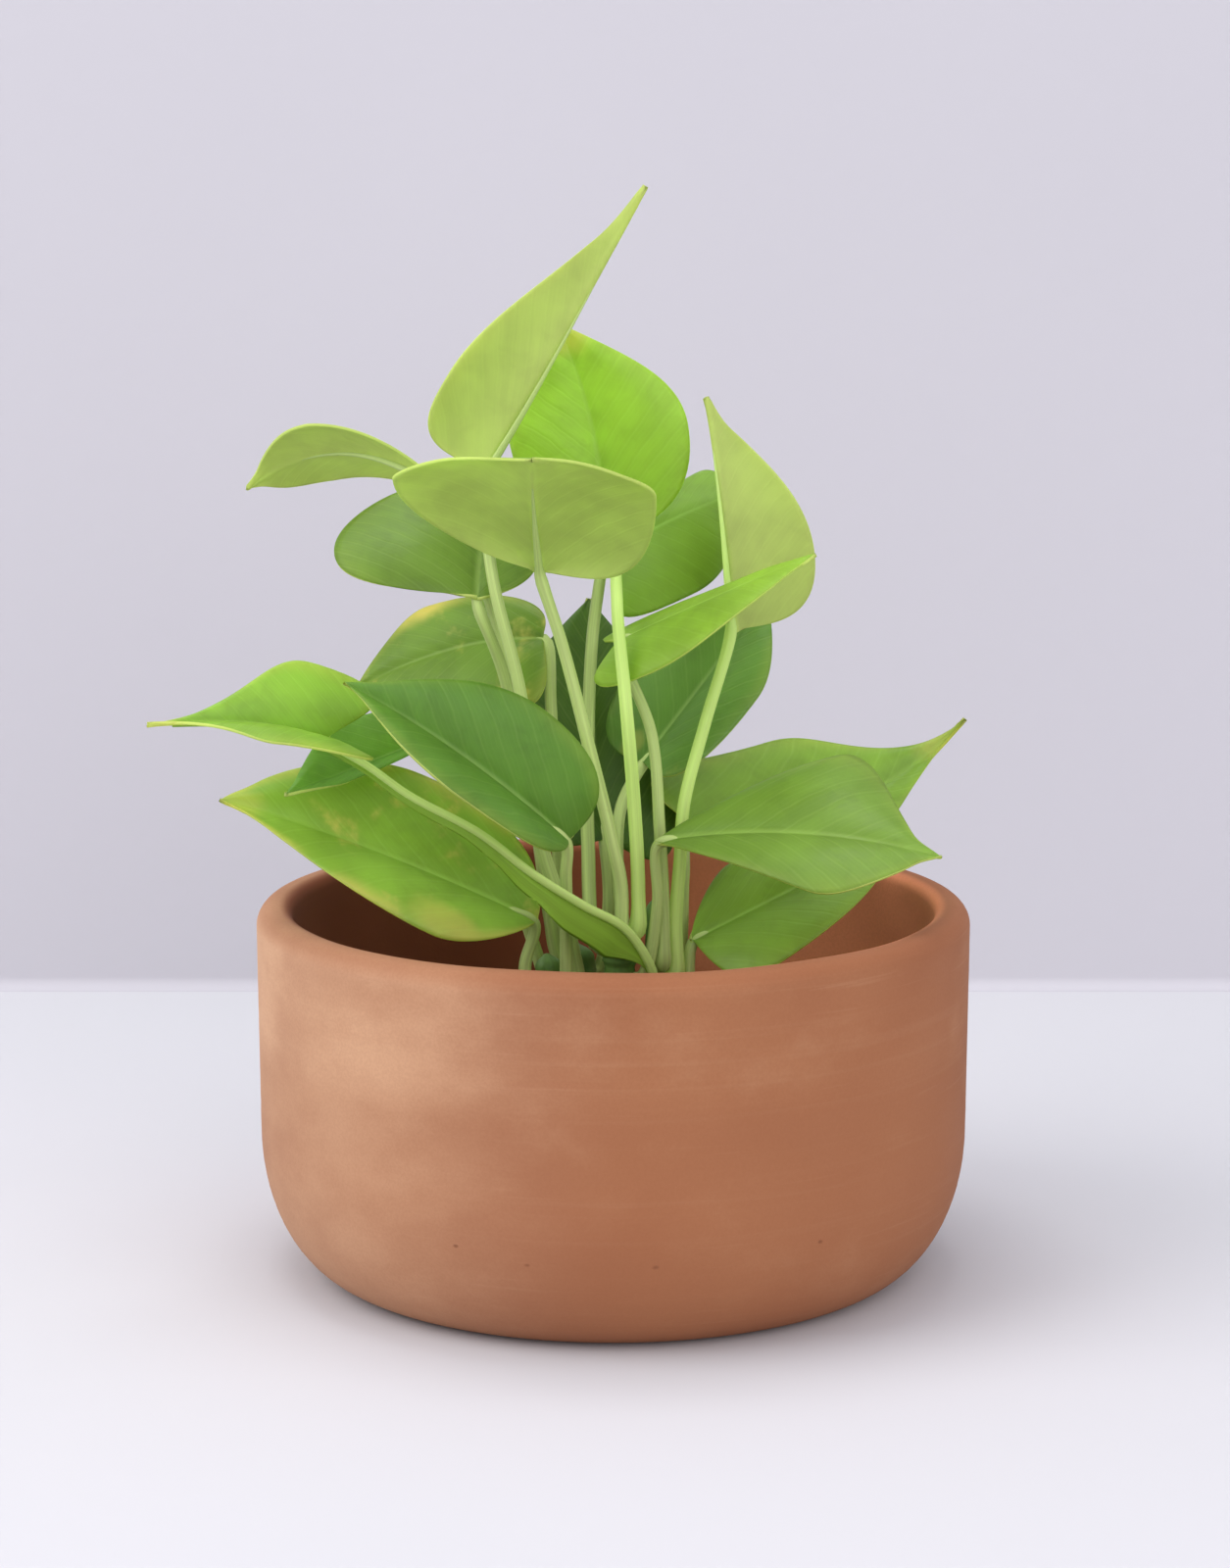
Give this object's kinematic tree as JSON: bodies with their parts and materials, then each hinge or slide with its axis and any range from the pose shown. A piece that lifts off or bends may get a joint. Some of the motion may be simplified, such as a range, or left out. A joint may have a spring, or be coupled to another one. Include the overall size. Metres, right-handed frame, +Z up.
{
  "type": "potted pothos plant",
  "caption": "Young pothos with spear and heart-shaped leaves on slender stalks, growing in a low round terracotta bowl.",
  "frame": {"origin": "centre of the bowl's foot, on the surface it stands on", "axes": "+Z up along the bowl's axis, -Y towards the side that the broad front leaves face, +X to the right seen from that side"},
  "size_m": [0.1901, 0.17, 0.2544],
  "materials": {
    "terracotta": "matte",
    "soil": "matte",
    "leaf_lime": "satin",
    "leaf_olive": "satin",
    "leaf_green": "satin",
    "leaf_dark": "satin",
    "stalk": "satin",
    "vine": "satin"
  },
  "bodies": {
    "root": {"terracotta_bowl": "terracotta", "potting_soil": "soil", "vine_left": "vine", "vine_middle": "vine", "vine_right": "vine", "vine_rear": "vine", "leaf_top_spear": "leaf_lime", "stalk_top_spear": "stalk", "leaf_top_round": "leaf_lime", "stalk_top_round": "stalk", "leaf_top_front": "leaf_olive", "stalk_top_front": "stalk", "leaf_left_upper": "leaf_green", "stalk_left_upper": "stalk", "leaf_far_left": "leaf_olive", "stalk_far_left": "stalk", "leaf_right_upper": "leaf_green", "stalk_right_upper": "stalk", "leaf_right_pale": "leaf_olive", "stalk_right_pale": "stalk", "leaf_right_front_upper": "leaf_lime", "stalk_right_front_upper": "stalk", "leaf_left_front": "leaf_dark", "stalk_left_front": "stalk", "leaf_right_rear_upper": "leaf_dark", "stalk_right_rear_upper": "stalk", "leaf_long_left": "leaf_green", "stalk_long_left": "stalk", "leaf_left_low": "leaf_green", "stalk_left_low": "stalk", "leaf_left_rear": "leaf_green", "stalk_left_rear": "stalk", "leaf_left_small_dark": "leaf_dark", "stalk_left_small_dark": "stalk", "leaf_right_front": "leaf_green", "stalk_right_front": "stalk", "leaf_centre_dark": "leaf_dark", "stalk_centre_dark": "stalk", "leaf_right_rear": "leaf_green", "stalk_right_rear": "stalk", "leaf_right_low": "leaf_green", "stalk_right_low": "stalk"}
  },
  "joints": []
}
